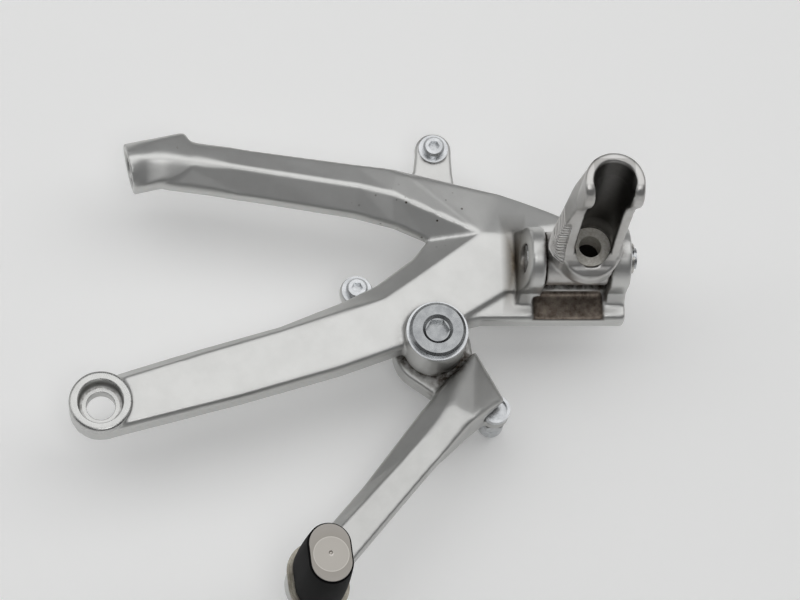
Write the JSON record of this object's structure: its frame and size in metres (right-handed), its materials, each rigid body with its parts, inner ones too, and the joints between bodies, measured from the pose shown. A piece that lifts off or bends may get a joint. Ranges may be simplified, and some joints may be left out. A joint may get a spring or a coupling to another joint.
{
  "type": "motorcycle footpeg with hanger and gear lever",
  "caption": "Forked cast hanger with a folding open-channel footpeg on a hinge pin and a pivoting gear lever with a rubber toe peg.",
  "frame": {"origin": "centre of the lower mounting hole at the face that meets the frame", "axes": "+Z along the lower mounting hole, away from the motorcycle; +X along the footpeg's hinge pin; +Y up the picture, towards the upper arm"},
  "size_m": [0.2161, 0.1987, 0.1324],
  "materials": {
    "cast_aluminium": "satin silver lacquer over a fine cast skin",
    "lever_aluminium": "satin silver, bead blasted",
    "zinc_steel": "bright zinc plating",
    "steel": "turned or drawn plain steel",
    "bronze": "plain turned bronze",
    "black_rubber": "moulded matt rubber"
  },
  "bodies": {
    "hanger_body": {"hanger": "cast_aluminium", "upper_mount_insert": "steel", "pivot_bolt": "zinc_steel", "pivot_washer_front": "zinc_steel", "pivot_washer_thrust": "steel", "pivot_washer_rear": "zinc_steel", "pivot_nut": "zinc_steel", "upper_lug_screw": "zinc_steel", "upper_lug_washer": "zinc_steel", "lower_lug_screw": "zinc_steel", "lower_lug_washer": "zinc_steel", "hinge_pin": "zinc_steel", "hinge_washer": "zinc_steel", "hinge_circlip": "steel", "return_spring": "steel"},
    "peg_body": {"footpeg": "cast_aluminium", "peg_ring": "steel"},
    "lever_body": {"gear_lever": "lever_aluminium", "lever_bush": "bronze", "lever_seal_front": "black_rubber", "lever_seal_rear": "black_rubber", "linkage_stud": "zinc_steel", "linkage_nut": "zinc_steel", "toe_peg_core": "lever_aluminium", "toe_peg_rubber": "black_rubber", "toe_peg_collar": "steel", "toe_peg_screw": "zinc_steel"}
  },
  "joints": [
    {"name": "peg_fold", "type": "hinge", "parent": "hanger_body", "child": "peg_body", "pos_m": [0.181, 0.0535, 0.022], "axis": [-1, 0, 0], "range_deg": [0, 72], "stiffness_Nm_per_rad": 0.25, "springref_deg": -34.38, "deforming": ["return_spring"]},
    {"name": "gear_lever_swing", "type": "hinge", "parent": "hanger_body", "child": "lever_body", "pos_m": [0.1272, 0.0255, -0.007], "axis": [0, 0, 1], "range_deg": [-14, 14]}
  ]
}
